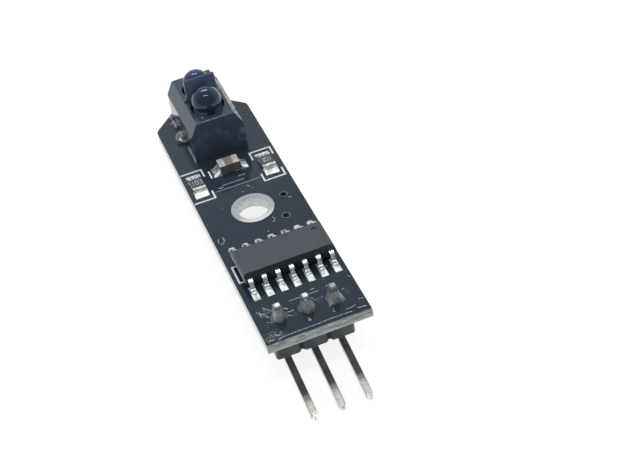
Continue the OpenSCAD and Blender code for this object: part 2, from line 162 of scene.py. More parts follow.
def span(tree, value, low, high, to_low=0.0, to_high=1.0):
    """Goes smoothly from to_low to to_high as the value goes from low to high."""
    inputs = {"Value": value, "From Min": low, "From Max": high,
              "To Min": to_low, "To Max": to_high}
    return add(tree, "MapRange", inputs, interpolation_type="SMOOTHSTEP").outputs["Result"]


def uneven(tree, cloud, low, high):
    """A roughness that goes between two values as a noise does."""
    return span(tree, cloud, 0.3, 0.7, low, high)


def noise(tree, at, scale, detail=3.0, rough=0.55, stretch=(1, 1, 1)):
    """A noise of 0 to 1, with that many lumps to the millimetre."""
    stretched = add(tree, "VectorMath", {0: at, 1: stretch}, operation="MULTIPLY").outputs[0]
    inputs = {"Vector": stretched, "Scale": scale, "Detail": detail, "Roughness": rough}
    return add(tree, "TexNoise", inputs).outputs["Fac"]


def specks(tree, at, scale, size, kept):
    """Small round dots on a share of the cells of a grid with that many cells to the millimetre."""
    cells = add(tree, "TexVoronoi", {"Vector": at, "Scale": scale})
    near = span(tree, cells.outputs["Distance"], size, 0.6 * size)
    pick = parts_of(tree, cells.outputs["Color"])[0]
    return times(tree, near, maths(tree, "LESS_THAN", pick, kept))


def spot(tree, at, centre, radius):
    """1 close to a centre, and 0 beyond the radius from it."""
    steps = [minus(tree, at[axis], value) for axis, value in enumerate(centre)]
    return span(tree, length(tree, steps), radius, 0.6 * radius)


def row_offset(tree, x, row):
    """How far a point lies to the right of the middle of the pin or lead that it is nearest to."""
    middle_x, pitch, count = row
    from_edge = plus(tree, x, count * pitch / 2 - middle_x)
    return minus(tree, maths(tree, "MODULO", from_edge, pitch), pitch / 2)


def mix(tree, share, a, b):
    """Colour a, turning into b as share goes to 1."""
    return add(tree, "Mix", {0: share, 6: a, 7: b}, data_type="RGBA").outputs[2]


def relief(tree, height, depth_mm):
    """A normal that follows a height of 0 to 1, depth_mm deep."""
    inputs = {"Height": height, "Strength": 1.0, "Distance": depth_mm * MM}
    return add(tree, "Bump", inputs).outputs["Normal"]


def new_material(name):
    """An empty material: the material, its node tree and its shader."""
    material = bpy.data.materials.new(name)
    material.use_nodes = True
    tree = material.node_tree
    return material, tree, tree.nodes["Principled BSDF"]


def dress(tree, shader, colour, rough, normal=None, **fixed):
    """Sets colour, roughness and normal, and the sockets that stay one number or colour."""
    feed(tree, shader.inputs["Base Color"], colour)
    feed(tree, shader.inputs["Roughness"], rough)
    if normal is not None:
        feed(tree, shader.inputs["Normal"], normal)
    for name, value in fixed.items():
        shader.inputs[name.replace("_", " ")].default_value = value


# Materials of the board

# Dried flux on the mask: middle, half sizes and strength
RESIDUE = (
    ((-3.8, -16.45), (1.0, 0.7), 1.0),
    ((-3.6, -13.4), (0.9, 0.7), 0.5),
    ((-3.75, -14.75), (0.55, 0.3), 0.45),
    ((-1.35, -14.75), (0.4, 0.3), 0.3),
    ((1.15, -14.2), (0.5, 0.4), 0.3),
    ((3.7, -14.3), (0.4, 0.5), 0.3),
)


def residue_share(tree, at, xyz):
    """Where dried flux clouds the mask."""
    streaks = noise(tree, at, 4.5, 4.0, 0.65, (1.0, 2.2, 1.0))
    share = 0.0
    for (x, y), (half_x, half_y), strength in RESIDUE:
        steps = (maths(tree, "DIVIDE", minus(tree, xyz[0], x), half_x),
                 maths(tree, "DIVIDE", minus(tree, xyz[1], y), half_y))
        share = most(tree, share, span(tree, length(tree, steps), 1.2, 0.3, 0.0, strength))
    return times(tree, share, span(tree, streaks, 0.5, 0.68))


def mask_look(tree, at, xyz):
    """Colour, roughness and normal of the black solder mask, with painted light: paler towards the
    far end.
    """
    blotch = noise(tree, at, 1.4)
    # Painted light and shade: darker tones near, paler tones far, blended along Y
    near = mix(tree, blotch, tone(28, 39, 50), tone(37, 48, 58))
    far = mix(tree, blotch, tone(40, 51, 62), tone(47, 58, 69))
    colour = mix(tree, span(tree, xyz[1], 0.0, 6.0), near, far)
    dust = specks(tree, at, 1.7, 0.13, 0.2)
    colour = mix(tree, times(tree, dust, 0.35), colour, tone(150, 155, 160))
    flux = residue_share(tree, at, xyz)
    colour = mix(tree, flux, colour, tone(176, 182, 188))
    rough = plus(tree, uneven(tree, noise(tree, at, 3.0, 4.0), 0.07, 0.13), times(tree, flux, 0.3))
    height = plus(tree, noise(tree, at, 2.6), times(tree, flux, 0.5))
    return colour, rough, relief(tree, height, 0.004)


def laminate_look(tree, at, xyz, out):
    """Colour and normal of the laminate's edges and hole: pale resin with layers of glass."""
    layers = noise(tree, at, 1.0, 5.0, 0.6, (0.7, 0.7, 9.0))
    chips = noise(tree, at, 2.6, 4.0, 0.6, (1, 1, 2.2))
    colour = mix(tree, span(tree, layers, 0.35, 0.65), tone(120, 128, 125), tone(184, 190, 187))
    colour = mix(tree, span(tree, chips, 0.56, 0.7), colour, tone(214, 218, 212))
    # The scored lower half of an edge, and painted light on the long sides and the mounting hole's
    # wall
    lower = span(tree, xyz[2], 0.5, 0.42)
    colour = mix(tree, times(tree, lower, 0.45), colour, tone(205, 210, 204))
    # Painted light: the long sides are made almost white by the way they face
    long_sides_painted_light = above(tree, size_of(tree, out[0]), 0.6)
    colour = mix(tree, times(tree, long_sides_painted_light, 0.85), colour, tone(248, 252, 250))
    # Painted light: the wall of the mounting hole is made almost white, against the shade in it
    from_hole = length(tree, xyz[:2])
    colour = mix(tree, span(tree, from_hole, 1.8, 1.6), colour, tone(253, 255, 251))
    return colour, relief(tree, plus(tree, layers, chips), 0.03)


def board_material():
    """Black solder mask on both faces, and bare laminate on the edges and in the holes."""
    material, tree, shader = new_material("board_mask_and_laminate")
    at = place(tree)
    xyz = parts_of(tree, at)
    out = way_out(tree)
    mask, mask_rough, mask_normal = mask_look(tree, at, xyz)
    edge, edge_normal = laminate_look(tree, at, xyz, out)
    flat = above(tree, size_of(tree, out[2]), 0.5)
    rough = plus(tree, span(tree, flat, 0.0, 1.0, 0.75, 0.0), times(tree, flat, mask_rough))
    normal = add(tree, "Mix", {0: flat, 4: edge_normal, 5: mask_normal}, data_type="VECTOR")
    dress(tree, shader, mix(tree, flat, edge, mask), rough, normal.outputs[1],
          Specular_IOR_Level=0.3, Specular_Tint=tone(232, 243, 255))
    return material


def ring_material():
    """Tinned ring round the mounting hole, painted brighter on its near part as a painted
    highlight.
    """
    material, tree, shader = new_material("tinned_copper")
    at = place(tree)
    cloud = noise(tree, at, 0.8, 4.0, 0.6)
    sides = mix(tree, cloud, tone(148, 151, 154), tone(134, 137, 140))
    near = mix(tree, cloud, tone(186, 189, 191), tone(170, 173, 175))
    # Painted highlight: brighter tones on the near part of the ring
    colour = mix(tree, span(tree, parts_of(tree, at)[1], -0.6, -1.7), sides, near)
    rough = uneven(tree, cloud, 0.4, 0.5)
    dress(tree, shader, colour, rough, relief(tree, cloud, 0.002), Metallic=0.8)
    return material


def mask_material():
    """Solder mask on the raised traces: lighter as mask over copper, and as a painted highlight."""
    material, tree, shader = new_material("solder_mask_over_copper")
    at = place(tree)
    # Partly a painted highlight: pale tones along the traces
    colour = mix(tree, noise(tree, at, 2.0), tone(84, 92, 102), tone(134, 141, 150))
    rough = uneven(tree, noise(tree, at, 4.0), 0.3, 0.42)
    dress(tree, shader, colour, rough, relief(tree, noise(tree, at, 5.0, 2.0), 0.004))
    return material


def flux_material():
    """Dried resin in threads and drops round the soldered places."""
    material, tree, shader = new_material("dried_flux")
    at = place(tree)
    cloud = span(tree, noise(tree, at, 4.0), 0.35, 0.65)
    colour = mix(tree, cloud, tone(118, 126, 136), tone(196, 200, 206))
    dress(tree, shader, colour, 0.35, relief(tree, noise(tree, at, 6.0, 2.0), 0.006))
    return material


def ink_material(name, full, faded):
    """Pale printing ink, a little thin in places."""
    material, tree, shader = new_material(name)
    at = place(tree)
    thin = span(tree, noise(tree, at, 3.0, 4.0), 0.5, 0.75)
    colour = mix(tree, times(tree, thin, 0.45), full, faded)
    dress(tree, shader, colour, 0.6, relief(tree, noise(tree, at, 9.0), 0.006))
    return material


# Materials of the solder, leads and pins

CAPACITOR_X = -0.1
# Middles of the painted highlights on the feet of the capacitor's solder
CAPACITOR_FOOT_HIGHLIGHTS = ((-1.4, 5.96), (1.4, 5.96))


def pad_solder_material():
    """Bright solder on the pads. At the capacitor: painted shade, but painted highlights on its two
    feet.
    """
    material, tree, shader = new_material("bright_pad_solder")
    at = place(tree)
    xyz = parts_of(tree, at)
    cloud = noise(tree, at, 1.5, 4.0, 0.6)
    colour = mix(tree, span(tree, cloud, 0.35, 0.68), tone(244, 246, 246), tone(150, 156, 158))
    # Painted shade on the capacitor's solder, with painted highlights on its two feet
    mottles = span(tree, noise(tree, at, 2.4), 0.42, 0.6)
    capacitor_painted_shade = mix(tree, mottles, tone(78, 88, 98), tone(176, 184, 190))
    left, right = (spot(tree, xyz, foot, 0.5) for foot in CAPACITOR_FOOT_HIGHLIGHTS)
    capacitor_painted_shade = mix(tree, most(tree, left, right), capacitor_painted_shade, tone(240, 244, 246))
    beside = size_of(tree, minus(tree, xyz[0], CAPACITOR_X))
    here = times(tree, maths(tree, "LESS_THAN", beside, 2.0), above(tree, xyz[1], 5.0))
    rough = uneven(tree, noise(tree, at, 3.0), 0.32, 0.42)
    colour = mix(tree, here, colour, capacitor_painted_shade)
    dress(tree, shader, colour, rough, relief(tree, cloud, 0.003), Metallic=0.45)
    return material


# Painted highlights on the near drop beside the housing: a bright facet and a bright spot
SIDE_GLINT = (-3.08, 12.59, 1.45)
SIDE_PAINTED_HIGHLIGHT = (-2.74, 12.46, 1.3)
# Y between the near drop and the far spill
SIDE_BETWEEN = (14.2, 14.8)


def glint_share(tree, xyz):
    """The painted highlight of the facet, which has three sides and tapers to the right."""
    right = minus(tree, xyz[0], SIDE_GLINT[0])
    up = minus(tree, xyz[2], SIDE_GLINT[2])
    low = plus(tree, up, times(tree, right, 0.5))
    left = minus(tree, right, times(tree, up, 0.8))
    over = plus(tree, right, times(tree, up, 0.4))
    return times(tree, span(tree, low, -0.14, -0.08), span(tree, left, -0.26, -0.2),
                 span(tree, over, 0.16, 0.1), spot(tree, xyz, SIDE_GLINT, 0.5))


def side_solder_material():
    """Solder in the holes beside the sensor. Painted light and shade on both; the far one dark and
    streaked.
    """
    material, tree, shader = new_material("shiny_solder")
    at = place(tree)
    xyz = parts_of(tree, at)
    cloud = noise(tree, at, 1.8)
    colour = mix(tree, cloud, tone(124, 130, 123), tone(96, 101, 96))
    # Painted light and shade: paler at the left of the near drop, darker towards the housing wall
    colour = mix(tree, span(tree, xyz[0], -3.3, -3.45), colour, tone(156, 161, 162))
    colour = mix(tree, span(tree, xyz[0], -2.9, -2.7), colour, tone(112, 118, 116))
    # Painted highlights: a white facet and a pale spot
    colour = mix(tree, glint_share(tree, xyz), colour, tone(255, 255, 255))
    colour = mix(tree, spot(tree, xyz, SIDE_PAINTED_HIGHLIGHT, 0.2), colour, tone(205, 211, 214))
    # Painted reflections on the far spill: dark with light streaks
    streak = noise(tree, at, 3.0, 3.0, 0.6, (3.0, 0.6, 1.0))
    far = mix(tree, span(tree, streak, 0.42, 0.56), tone(40, 48, 56), tone(140, 149, 157))
    colour = mix(tree, span(tree, xyz[1], *SIDE_BETWEEN), colour, far)
    rough = uneven(tree, cloud, 0.25, 0.36)
    dress(tree, shader, colour, rough, relief(tree, cloud, 0.006), Metallic=0.35)
    return material


# Where a bell's lip begins, the heights over which painted shade darkens it to its foot, and the
# outer radius of the painted-highlight arches behind the chip
LIP_FROM = 1.9
FOOT_SHADE_HEIGHTS = (1.45, 1.05)
LUMP_RADIUS = 0.34
# Y between the header's bells and the chip's far row
DULL_BETWEEN = (-7.0, -6.5)


def header_solder_colour(tree, at, xyz, cloud):
    """Grey with streaks, with painted light on the sides and painted shade at the lip and foot of a
    bell.
    """
    streak = noise(tree, at, 2.4, 4.0, 0.6, (2.2, 2.2, 0.5))
    light = mix(tree, cloud, tone(170, 174, 177), tone(146, 150, 153))
    colour = mix(tree, span(tree, streak, 0.42, 0.66), light, tone(116, 120, 124))
    across = row_offset(tree, xyz[0], HEADER_ROW)
    # Painted highlights at the left and the right of each bell
    colour = mix(tree, span(tree, across, -0.25, -0.6), colour, tone(180, 184, 187))
    # Painted highlight: the first bell is brightest at its left
    first = times(tree, span(tree, across, -0.15, -0.5), span(tree, xyz[0], -1.5, -2.0),
                  span(tree, xyz[2], 2.1, 1.7))
    colour = mix(tree, first, colour, tone(240, 243, 245))
    colour = mix(tree, span(tree, across, 0.2, 0.55), colour, tone(188, 192, 194))
    # Painted shade at the lip and the foot of each bell
    lip = times(tree, span(tree, way_out(tree)[2], 0.5, 0.8), above(tree, xyz[2], LIP_FROM))
    colour = mix(tree, lip, colour, tone(30, 34, 38))
    foot = times(tree, span(tree, xyz[2], *FOOT_SHADE_HEIGHTS), span(tree, across, -0.5, 0.2, 0.15, 0.6))
    return mix(tree, foot, colour, tone(40, 48, 56))


def chip_lump_colour(tree, at, xyz):
    """Dark, with a painted highlight arch behind each lead, hollow at the left and full at the
    right.
    """
    far_end = box_mm("chip_solder_far")[1].y
    beside = row_offset(tree, xyz[0], CHIP_ROW)
    behind = minus(tree, xyz[1], far_end - LUMP_RADIUS)
    off = length(tree, (beside, behind))
    inner = most(tree, span(tree, off, 0.08, 0.2), span(tree, xyz[0], 1.9, 2.3))
    outer = span(tree, off, LUMP_RADIUS + 0.06, LUMP_RADIUS - 0.06)
    patchy_highlight = span(tree, noise(tree, at, 1.1, 2.0), 0.4, 0.58, 0.3, 1.0)
    # Painted highlight: a broken pale arch on each dark lump
    return mix(tree, times(tree, inner, outer, patchy_highlight), tone(56, 64, 74), tone(168, 174, 182))


def dull_solder_material():
    """Grey solder: bells on the header, and dark lumps behind the chip, with painted light and
    shade.
    """
    material, tree, shader = new_material("dull_header_solder")
    at = place(tree)
    xyz = parts_of(tree, at)
    cloud = noise(tree, at, 1.6, 4.0, 0.6)
    bells = header_solder_colour(tree, at, xyz, cloud)
    lumps = chip_lump_colour(tree, at, xyz)
    colour = mix(tree, span(tree, xyz[1], *DULL_BETWEEN), bells, lumps)
    rough = uneven(tree, cloud, 0.34, 0.5)
    dress(tree, shader, colour, rough, relief(tree, cloud, 0.007), Metallic=0.7)
    return material


def lead_material():
    """Tinned leads, slightly clouded."""
    material, tree, shader = new_material("tinned_lead")
    at = place(tree)
    cloud = noise(tree, at, 1.0, 4.0, 0.6)
    colour = mix(tree, span(tree, cloud, 0.35, 0.68), tone(236, 238, 240), tone(206, 208, 210))
    rough = uneven(tree, noise(tree, at, 2.0), 0.22, 0.3)
    dress(tree, shader, colour, rough, relief(tree, cloud, 0.0008), Metallic=1.0)
    return material


def cap_material():
    """Tinned end caps with painted light, lighter on top. The far ones of the resistors are mottled
    with grey.
    """
    material, tree, shader = new_material("tinned_end_cap")
    at = place(tree)
    xyz = parts_of(tree, at)
    up = span(tree, way_out(tree)[2], 0.3, 0.7)
    cloud = noise(tree, at, 2.5)
    top = mix(tree, span(tree, cloud, 0.35, 0.65), tone(218, 219, 210), tone(142, 144, 139))
    far = times(tree, above(tree, xyz[1], 5.5), above(tree, size_of(tree, xyz[0]), 2.0))
    mottles = span(tree, noise(tree, at, 3.2, 4.0, 0.7), 0.42, 0.6)
    top = mix(tree, far, top, mix(tree, mottles, tone(112, 122, 122), tone(208, 212, 208)))
    # Painted light and shade: tops lighter than sides
    colour = mix(tree, up, tone(118, 122, 124), top)
    rough = uneven(tree, cloud, 0.3, 0.42)
    dress(tree, shader, colour, rough, relief(tree, cloud, 0.003), Metallic=0.5)
    return material


# Painted highlights on the cut ends: from the middle of each pin, and one more on the middle pin
END_PAINTED_HIGHLIGHT = (0.03, -14.5)
END_GLINT = (-0.22, -14.82, 2.15)
# Y over which the pins turn from their bright tips to a painted grey, painted shade of their upper
# parts, and the heights from which solder wets their cut ends
TIP_SHADE_BETWEEN = (-19.9, -19.4)
END_FROM = (1.4, 1.5)


def pin_material():
    """Square drawn pins, bright, with faint streaks, painted shade and highlights. Solder wets
    their cut ends.
    """
    material, tree, shader = new_material("header_pin_tin")
    at = place(tree)
    xyz = parts_of(tree, at)
    across = row_offset(tree, xyz[0], HEADER_ROW)
    streaks = noise(tree, at, 2.0, 4.0, 0.6, (4, 0.6, 4))
    blotches = span(tree, noise(tree, at, 2.6), 0.46, 0.62)
    colour = mix(tree, streaks, tone(240, 238, 222), tone(214, 212, 196))
    colour = mix(tree, times(tree, blotches, 0.7), colour, tone(255, 255, 248))
    # Painted shade: darker along the sides of each pin
    rim_painted_shade = span(tree, size_of(tree, across), 0.17, 0.33)
    colour = mix(tree, times(tree, rim_painted_shade, 0.6), colour, tone(158, 158, 146))
    # Painted shade: grey on the upper parts of the pins
    colour = mix(tree, span(tree, xyz[1], *TIP_SHADE_BETWEEN), colour, tone(200, 202, 202))
    # Painted highlights: bright spots on the cut ends
    bright = times(tree, spot(tree, (across, xyz[1]), END_PAINTED_HIGHLIGHT, 0.29),
                   span(tree, xyz[0], 2.3, 0.8, 0.2, 0.85))
    bright = most(tree, bright, spot(tree, xyz, END_GLINT, 0.2))
    end = mix(tree, bright, tone(134, 138, 138), tone(250, 252, 250))
    colour = mix(tree, above(tree, xyz[2], END_FROM[1]), colour, end)
    # A slight bow moves what the pins mirror towards their tips
    bow = span(tree, xyz[0], -2.0, -1.0, -0.048, -0.036)
    height = plus(tree, times(tree, streaks, 0.003), times(tree, xyz[1], bow))
    dress(tree, shader, colour, uneven(tree, streaks, 0.07, 0.13), relief(tree, height, 1.0))
    feed(tree, shader.inputs["Metallic"], span(tree, xyz[2], *END_FROM, 0.86, 0.3))
    return material


# Materials of the moulded and ceramic parts

# A fleck on the top
TOP_SPECK = (-1.05, 9.75, 5.4)


def housing_colour(tree, at, xyz, out, clouds, fine):
    """Nearly black, with painted light: paler near face and barrier ends, darker bevels, pale near
    edge line.
    """
    sideways = span(tree, size_of(tree, out[0]), 0.5, 0.7)
    barrier = span(tree, xyz[2], HOUSING_TOP, HOUSING_TOP + 0.1)
    colour = mix(tree, span(tree, clouds, 0.3, 0.7), tone(46, 57, 70), tone(54, 65, 78))
    # Painted light: a paler near face, palest on the barrier's near face
    front_painted_light = mix(tree, clouds, tone(58, 67, 84), tone(68, 77, 94))
    front_painted_light = mix(tree, barrier, front_painted_light, tone(86, 98, 120))
    colour = mix(tree, span(tree, out[1], -0.8, -0.95), colour, front_painted_light)
    # Painted highlight on the barrier's ends
    colour = mix(tree, times(tree, sideways, barrier), colour, tone(164, 174, 186))
    # Painted shade: darker on the side bevels
    bevel_painted_shade = times(tree, sideways, span(tree, out[2], 0.2, 0.3))
    colour = mix(tree, bevel_painted_shade, colour, mix(tree, fine, tone(22, 39, 55), tone(40, 57, 73)))
    # Painted highlight: a patchy pale line along the near top edge
    edge = times(tree, span(tree, out[2], 0.3, 0.5), span(tree, out[1], -0.3, -0.5),
                 span(tree, xyz[2], HOUSING_TOP - 0.09, HOUSING_TOP - 0.04))
    patchy_highlight = mix(tree, span(tree, fine, 0.4, 0.6), tone(90, 98, 108), tone(146, 154, 162))
    colour = mix(tree, edge, colour, patchy_highlight)
    dust = most(tree, times(tree, specks(tree, at, 1.4, 0.12, 0.16), 0.4),
                times(tree, spot(tree, xyz, TOP_SPECK, 0.12), 0.65))
    return mix(tree, dust, colour, tone(170, 175, 180))


def housing_material():
    """Black moulded plastic: glossy, with a pitted right side that is plainer on its wall."""
    material, tree, shader = new_material("sensor_housing_plastic")
    at = place(tree)
    xyz = parts_of(tree, at)
    out = way_out(tree)
    clouds = noise(tree, at, 0.9, 4.0)
    fine = noise(tree, at, 3.2, 4.0, 0.6)
    right = times(tree, above(tree, out[0], 0.5), span(tree, out[2], 0.05, 0.3, 0.3, 1.0))
    pitted = times(tree, span(tree, fine, 0.45, 0.58), right)
    colour = housing_colour(tree, at, xyz, out, clouds, fine)
    # Painted sheen: the pits on the right side are painted paler
    colour = mix(tree, times(tree, pitted, 0.3), colour, tone(170, 180, 190))
    rough = plus(tree, uneven(tree, clouds, 0.09, 0.15), times(tree, pitted, 0.6))
    height = plus(tree, times(tree, noise(tree, at, 8.0, 2.0), 0.1), pitted)
    dress(tree, shader, colour, rough, relief(tree, height, 0.024),
          Specular_IOR_Level=0.42, Specular_Tint=tone(235, 245, 255))
    return material


# Heights over which a dome turns from its edge's tone to its deep one, and to its foot's
DOME_RISE = (5.2, 7.2)
DOME_FOOT = (5.75, 5.35)


def epoxy_material(name, deep, edge, right, turn, foot, rough):
    """An epoxy dome: edge low down, deep on top, painted reflections right of the turn in X and at
    both feet.
    """
    material, tree, shader = new_material(name)
    at = place(tree)
    xyz = parts_of(tree, at)
    colour = mix(tree, span(tree, xyz[2], *DOME_RISE), edge, deep)
    # Painted reflection: the right tone beyond the turn in X
    colour = mix(tree, span(tree, xyz[0], *turn), colour, right)
    # Painted reflection: the foot tone at both feet
    low = span(tree, xyz[2], *DOME_FOOT)
    aside = span(tree, size_of(tree, plus(tree, xyz[0], 0.05)), 0.25, 0.6)
    colour = mix(tree, times(tree, low, aside), colour, foot)
    rough = uneven(tree, noise(tree, at, 1.2, 2.0), 0.8 * rough, 1.3 * rough)
    dress(tree, shader, colour, rough, IOR=1.5, Specular_Tint=tone(220, 236, 255))
    return material


PARTING_LINE = 1.9


def chip_material():
    """Matt moulding compound with a thin flash along its parting line at the left end."""
    material, tree, shader = new_material("chip_plastic")
    at = place(tree)
    xyz = parts_of(tree, at)
    left = box_mm("chip_body")[0].x
    clouds = noise(tree, at, 0.9, 4.0)
    colour = mix(tree, span(tree, clouds, 0.3, 0.7), tone(33, 44, 53), tone(40, 51, 60))
    near = span(tree, way_out(tree)[1], -0.6, -0.9)
    colour = mix(tree, near, colour, tone(38, 46, 54))
    off = size_of(tree, minus(tree, xyz[2], PARTING_LINE))
    flash = times(tree, span(tree, off, 0.3, 0.18), span(tree, xyz[0], left + 0.2, left + 0.12),
                  span(tree, noise(tree, at, 1.5), 0.3, 0.6, 0.5, 1.0))
    colour = mix(tree, flash, colour, tone(176, 184, 192))
    dress(tree, shader, colour, 0.42, relief(tree, noise(tree, at, 10.0, 2.0), 0.002),
          Specular_IOR_Level=0.4)
    return material


def resistor_material():
    """White alumina with a dark glaze on top."""
    material, tree, shader = new_material("resistor_glaze_on_alumina")
    at = place(tree)
    up = span(tree, way_out(tree)[2], 0.4, 0.6)
    cloud = noise(tree, at, 2.0)
    side = mix(tree, cloud, tone(150, 156, 152), tone(190, 194, 188))
    glaze = mix(tree, cloud, tone(44, 52, 58), tone(60, 68, 74))
    rough = span(tree, up, 0.0, 1.0, 0.6, 0.22)
    dress(tree, shader, mix(tree, up, side, glaze), rough, relief(tree, cloud, 0.003))
    return material


def capacitor_material():
    """Tan ceramic, painted darker down its sides as painted shade."""
    material, tree, shader = new_material("capacitor_ceramic")
    at = place(tree)
    up = span(tree, way_out(tree)[2], 0.4, 0.6)
    cloud = noise(tree, at, 2.2)
    top = mix(tree, cloud, tone(134, 119, 108), tone(110, 99, 91))
    side = mix(tree, cloud, tone(98, 98, 92), tone(80, 82, 80))
    # Painted shade: the sides darker than the top
    dress(tree, shader, mix(tree, up, side, top), 0.35, relief(tree, cloud, 0.003))
    return material


def grained_material(name, light, dark, rough, grain, depth_mm, specular):
    """Moulded plastic or solder mask with a fine grain and slow clouds of tone."""
    material, tree, shader = new_material(name)
    at = place(tree)
    clouds = noise(tree, at, 0.45 * grain, 4.0)
    fine = noise(tree, at, 5.0 * grain, 2.0)
    colour = mix(tree, span(tree, clouds, 0.3, 0.7), dark, light)
    rough = uneven(tree, clouds, 0.9 * rough, 1.1 * rough)
    dress(tree, shader, colour, rough, relief(tree, fine, depth_mm), Specular_IOR_Level=specular)
    return material


def make_materials():
    """One material for each slot of the record, and those of the added pieces."""
    return {
        "board": board_material(),
        "trace": mask_material(),
        "ink": ink_material("silkscreen_ink", tone(222, 228, 234), tone(140, 150, 158)),
        "digits": ink_material("resistor_print", tone(172, 178, 184), tone(110, 118, 124)),
        "flux": flux_material(),
        "tin": ring_material(),
        "masked_copper": grained_material("masked_copper_ring", tone(70, 78, 88), tone(40, 48, 58),
                                          0.25, 1.0, 0.004, 0.5),
        "sensor_plastic": housing_material(),
        # Each dome's right and foot tones are painted reflections
        "emitter_epoxy": epoxy_material("violet_epoxy", tone(34, 40, 100), tone(32, 36, 82),
                                        tone(36, 56, 70), (0.1, 0.5), tone(34, 36, 84), 0.12),
        "receiver_epoxy": epoxy_material("black_epoxy", tone(28, 41, 60), tone(32, 46, 64),
                                         tone(50, 60, 80), (0.2, 0.9), tone(112, 126, 138), 0.1),
        "solder": side_solder_material(),
        "bright_solder": pad_solder_material(),
        "dull_solder": dull_solder_material(),
        "lead_metal": lead_material(),
        "chip_plastic": chip_material(),
        "resistor_ceramic": resistor_material(),
        "capacitor_ceramic": capacitor_material(),
        "end_cap": cap_material(),
        "header_plastic": grained_material("header_nylon", tone(75, 80, 88), tone(66, 71, 79),
                                           0.3, 1.5, 0.004, 0.4),
        "pin_metal": pin_material(),
    }


# The header's pads lie under dark flux
LOOKS_LIKE = {"header_hole_plating": "masked_copper"}


def paint_frame(materials):
    """Gives each CAD node the material of its slot in the record, or the one that it looks like."""
    for name, node in frame["nodes"].items():
        node.data.materials.clear()
        node.data.materials.append(materials[LOOKS_LIKE.get(name, SLOT_OF[name])])


# Meshes

def put_in_scene(name, data):
    thing = bpy.data.objects.new(name, data)
    bpy.context.scene.collection.objects.link(thing)
    return thing


def mesh_object(name, mesh, material):
    """Turns a bmesh into an object with one material."""
    data = bpy.data.meshes.new(name)
    mesh.to_mesh(data)
    mesh.free()
    data.materials.append(material)
    return put_in_scene(name, data)


def finish_piece(name, mesh, material, smooth=False):
    """Turns a bmesh into a piece on the body."""
    bmesh.ops.recalc_face_normals(mesh, faces=mesh.faces)
    piece = mesh_object(name, mesh, material)
    if smooth:
        piece.data.shade_smooth()
    else:
        piece.data.shade_flat()
    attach(piece, BODY)
    return piece


def ring(mesh, centre, around, shape, *values):
    """Points round a centre. The shape gives radius and height from an angle and the values."""
    points = []
    for step in range(around):
        angle = math.tau * step / around
        radius, height = shape(angle, *values)
        x = centre[0] + radius * math.cos(angle)
        y = centre[1] + radius * math.sin(angle)
        points.append(mesh.verts.new((x * MM, y * MM, height * MM)))
    return points


def round_shape(angle, radius, height):
    return radius, height


def join_rings(mesh, rings):
    """Faces between each ring of points and the next."""
    for low, high in zip(rings, rings[1:]):
        for n in range(len(low)):
            after = (n + 1) % len(low)
            mesh.faces.new((low[n], low[after], high[after], high[n]))


# Flat pieces on the board

def pen_outline(points, width):
    """Both sides of a line drawn with a square-ended pen, as one closed loop."""
    sides = ([], [])
    for n, point in enumerate(points):
        back = (point - points[n - 1]).normalized() if n else None
        on = (points[n + 1] - point).normalized() if n + 1 < len(points) else None
        along = ((back or on) + (on or back)).normalized()
        across = Vector((-along.y, along.x))
        reach = width / 2 / max(0.3, along.dot(on or back))
        sides[0].append(point + across * reach)
        sides[1].append(point - across * reach)
    return sides[0] + sides[1][::-1]


def ribbon(name, lines, width, thickness, material, base=BOARD_TOP):
    """Lines with sloping sides, all in one piece, that lie at a base height."""
    mesh = bmesh.new()
    slope = min(0.3 * width, thickness)
    for line in lines:
        points = [Vector(p) for p in line]
        low = [mesh.verts.new((p.x * MM, p.y * MM, base * MM)) for p in pen_outline(points, width)]
        high = [mesh.verts.new((p.x * MM, p.y * MM, (base + thickness) * MM))
                for p in pen_outline(points, width - slope)]
        mesh.faces.new(high)
        mesh.faces.new(low[::-1])
        join_rings(mesh, (low, high))
    finish_piece(name, mesh, material)


INK_WIDTH = 0.17
INK_THICK = 0.02
HAIRLINE = 0.05
# Between a printed bar and what it stands beside
INK_GAP = 0.22
BRACKET_HALF = (1.04, 2.32)
BRACKET_STUB = 1.15


def bracket_lines(centre, sides):
    """The two ends of a bracket round a resistor, with a stub along each side that is printed."""
    x, y = centre.x, centre.y
    half_x, half_y = BRACKET_HALF
    lines = []
    for end in (-1, 1):
        line = [(x - half_x, y + end * half_y), (x + half_x, y + end * half_y)]
        stub = end * (half_y - BRACKET_STUB)
        if -1 in sides:
            line.insert(0, (x - half_x, y + stub))
        if 1 in sides:
            line.append((x + half_x, y + stub))
        lines.append(line)
    return lines


def make_ink(ink):
    """Printed brackets and bars, and a hairline along the left foot of the housing."""
    left = middle("resistor_left_body")
    right = middle("resistor_right_body")
    ribbon("ink_resistor_left", bracket_lines(left, (1,)), INK_WIDTH, INK_THICK, ink)
    ribbon("ink_resistor_right", bracket_lines(right, (-1, 1)), INK_WIDTH, INK_THICK, ink)
    low, _ = box_mm("sensor_housing")
    x = low.x - HAIRLINE
    ribbon("ink_sensor_side", [[(x, low.y + 0.05), (x, low.y + 2.7)]], HAIRLINE, INK_THICK, ink)
    low, high = box_mm("capacitor_solder")
    x = low.x - INK_GAP
    ribbon("ink_capacitor", [[(x, low.y + 0.1), (x, high.y - 0.1)]], INK_WIDTH, INK_THICK, ink)
    low, _ = box_mm("chip_body")
    out_x, in_x = low.x - INK_GAP, low.x + 0.15
    near_y, far_y = low.y + 1.0, low.y + 3.2
    ribbon("ink_chip_end", [[(in_x, far_y), (out_x, far_y), (out_x, near_y), (in_x, near_y)]],
           INK_WIDTH, INK_THICK, ink)


TRACE_WIDTH = 0.14
TRACE_THICK = 0.035


